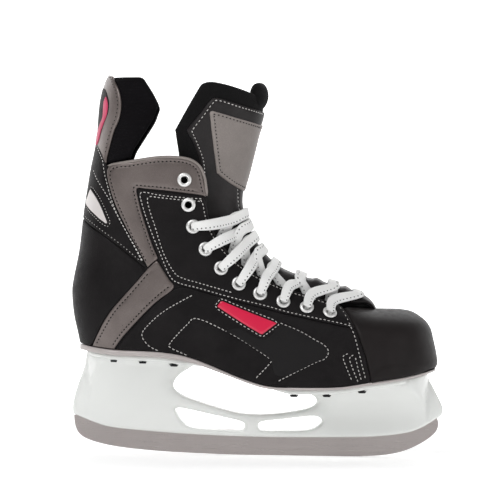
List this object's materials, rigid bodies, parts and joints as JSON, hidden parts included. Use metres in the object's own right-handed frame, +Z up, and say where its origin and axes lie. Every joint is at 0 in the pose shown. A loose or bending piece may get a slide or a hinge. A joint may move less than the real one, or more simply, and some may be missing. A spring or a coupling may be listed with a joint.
{
  "type": "ice hockey skate",
  "caption": "Laced ice hockey skate for the right foot, with boot, hinged tongue top and tendon guard, open blade holder and steel runner.",
  "frame": {"origin": "on the flat of the steel runner, at the middle of the skate's length and in the runner's own middle plane", "axes": "+X towards the toe, +Z up, -Y towards the outer side of the right foot"},
  "size_m": [0.2991, 0.0963, 0.3036],
  "materials": {
    "runner_steel": "ground and polished stainless steel",
    "holder_white": "moulded white nylon",
    "bolt_steel": "zinc plated",
    "rivet_steel": "blackened steel",
    "outsole_edge": "moulded, pinkish light grey",
    "board_fibre": "pressed fibre board",
    "footbed_foam": "fabric-topped foam",
    "toe_cap_black": "satin moulded shell",
    "lining_felt": "brushed lining cloth over foam",
    "black_leather": "synthetic leather, fine grain",
    "grey_leather": "metallic grey synthetic leather",
    "label_crimson": "welded film",
    "badge_silver": "metallic film",
    "eyelet_metal": "rolled and plated",
    "lace_white": "woven waxed lace",
    "aglet_clear": "clear film sleeve",
    "tongue_felt_black": "thick pressed felt",
    "tongue_vinyl": "coated fabric",
    "tongue_patch_grey": "grey synthetic leather",
    "guard_fabric": "ribbed padded fabric"
  },
  "bodies": {
    "boot": {"runner": "runner_steel", "holder": "holder_white", "rear_bolt": "bolt_steel", "front_bolt": "bolt_steel", "rear_nut": "bolt_steel", "front_nut": "bolt_steel", "heel_rivets": "rivet_steel", "toe_rivets": "rivet_steel", "outsole": "outsole_edge", "insole_board": "board_fibre", "footbed": "footbed_foam", "toe_cap": "toe_cap_black", "toe_cap_liner": "lining_felt", "quarter_outer": "black_leather", "quarter_inner": "black_leather", "lining_outer": "lining_felt", "lining_inner": "lining_felt", "facing_lining_outer": "black_leather", "facing_lining_inner": "black_leather", "ankle_pad_outer": "lining_felt", "ankle_pad_inner": "lining_felt", "heel_counter": "black_leather", "back_stay": "black_leather", "ankle_strap_outer": "grey_leather", "ankle_strap_inner": "grey_leather", "collar_overlay_outer": "grey_leather", "collar_overlay_inner": "grey_leather", "facing_outer": "black_leather", "facing_inner": "black_leather", "side_panel_outer": "black_leather", "side_panel_inner": "black_leather", "label_outer": "label_crimson", "label_inner": "label_crimson", "teardrop_outer": "badge_silver", "teardrop_inner": "badge_silver", "eyelets_outer": "eyelet_metal", "eyelets_inner": "eyelet_metal", "eyelet_washers_outer": "eyelet_metal", "eyelet_washers_inner": "eyelet_metal", "lace_outer": "lace_white", "lace_inner": "lace_white", "lace_tail_outer": "lace_white", "lace_tail_inner": "lace_white", "aglet_outer": "aglet_clear", "aglet_inner": "aglet_clear", "tongue_felt": "tongue_felt_black", "tongue_facing": "tongue_vinyl"},
    "tendon_guard": {"guard_pad": "guard_fabric", "guard_shell": "grey_leather", "guard_insert": "label_crimson"},
    "tongue_top": {"tongue_top_felt": "tongue_felt_black", "tongue_top_facing": "tongue_vinyl", "tongue_top_patch": "tongue_patch_grey", "tongue_lip": "tongue_felt_black"}
  },
  "joints": [
    {"name": "guard_flex", "type": "hinge", "parent": "boot", "child": "tendon_guard", "pos_m": [-0.136, 0, 0.236], "axis": [0, -1, 0], "range_deg": [0, 20], "stiffness_Nm_per_rad": 1.5},
    {"name": "tongue_fold", "type": "hinge", "parent": "boot", "child": "tongue_top", "pos_m": [-0.009, 0, 0.2115], "axis": [0, 1, 0], "range_deg": [0, 60]}
  ]
}
